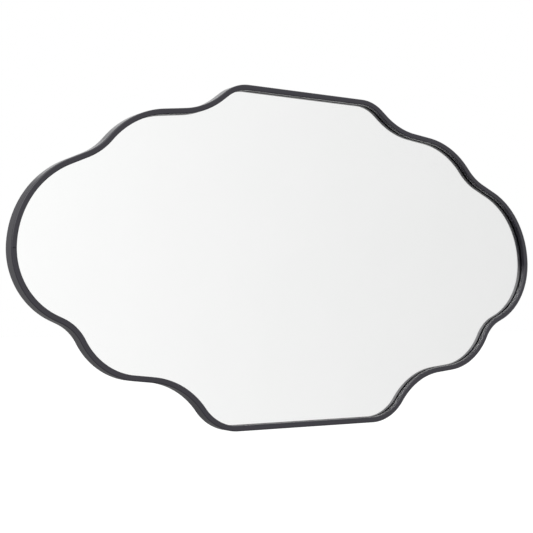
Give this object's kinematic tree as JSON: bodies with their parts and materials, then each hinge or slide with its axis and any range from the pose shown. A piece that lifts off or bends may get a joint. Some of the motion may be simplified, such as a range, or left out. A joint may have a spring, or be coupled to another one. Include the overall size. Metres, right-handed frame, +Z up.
{
  "type": "irregular shaped wall mirror",
  "caption": "Wide scalloped wall mirror with a thin black metal frame, straight top and bottom runs, a backing board and D-ring hangers.",
  "frame": {"origin": "on the wall plane, behind the middle of the outline", "axes": "+Z up, +X to the right as seen from the front, -Y the way the glass faces, +Y into the wall"},
  "size_m": [0.914, 0.024, 0.495],
  "materials": {
    "frame": "charcoal black satin powder coat, fine orange peel",
    "mirror": "clear float glass, silvered on the back",
    "film": "matt grey vinyl safety film",
    "tape": "white polyethylene foam tape",
    "board": "raw brown medium density fibreboard",
    "tabs": "the frame's charcoal black powder coat over tack-welded sheet steel",
    "hangers": "bright zinc-plated steel strap and wire",
    "screws": "bright zinc-plated steel",
    "bumper": "matt black rubber"
  },
  "bodies": {
    "mirror": {"frame": "frame", "mirror_glass": "mirror", "safety_film": "film", "foam_tape_1": "tape", "foam_tape_2": "tape", "foam_tape_3": "tape", "foam_tape_4": "tape", "backing_board": "board", "retaining_tab_1": "tabs", "retaining_tab_2": "tabs", "retaining_tab_3": "tabs", "retaining_tab_4": "tabs", "retaining_tab_5": "tabs", "retaining_tab_6": "tabs", "retaining_tab_7": "tabs", "retaining_tab_8": "tabs", "tab_screw_1": "screws", "tab_screw_2": "screws", "tab_screw_3": "screws", "tab_screw_4": "screws", "tab_screw_5": "screws", "tab_screw_6": "screws", "tab_screw_7": "screws", "tab_screw_8": "screws", "hanger_strap_top_left": "hangers", "hanger_strap_top_right": "hangers", "hanger_strap_end_upper": "hangers", "hanger_strap_end_lower": "hangers", "hanger_screw_top_left_1": "screws", "hanger_screw_top_left_2": "screws", "hanger_screw_top_right_1": "screws", "hanger_screw_top_right_2": "screws", "hanger_screw_end_upper_1": "screws", "hanger_screw_end_upper_2": "screws", "hanger_screw_end_lower_1": "screws", "hanger_screw_end_lower_2": "screws", "bumper_top_right": "bumper", "bumper_top_left": "bumper", "bumper_bottom_left": "bumper", "bumper_bottom_right": "bumper"},
    "ring_top_left": {"hanger_ring_top_left": "hangers"},
    "ring_top_right": {"hanger_ring_top_right": "hangers"},
    "ring_end_upper": {"hanger_ring_end_upper": "hangers"},
    "ring_end_lower": {"hanger_ring_end_lower": "hangers"}
  },
  "joints": [
    {"name": "ring_top_left_swing", "type": "hinge", "parent": "mirror", "child": "ring_top_left", "pos_m": [-0.225, -0.0033, 0.128], "axis": [1, 0, 0], "range_deg": [0, 180]},
    {"name": "ring_top_right_swing", "type": "hinge", "parent": "mirror", "child": "ring_top_right", "pos_m": [0.225, -0.0033, 0.128], "axis": [1, 0, 0], "range_deg": [0, 180]},
    {"name": "ring_end_upper_swing", "type": "hinge", "parent": "mirror", "child": "ring_end_upper", "pos_m": [0.33, -0.0033, 0.072], "axis": [0, 0, -1], "range_deg": [0, 180]},
    {"name": "ring_end_lower_swing", "type": "hinge", "parent": "mirror", "child": "ring_end_lower", "pos_m": [0.33, -0.0033, -0.072], "axis": [0, 0, -1], "range_deg": [0, 180]}
  ]
}
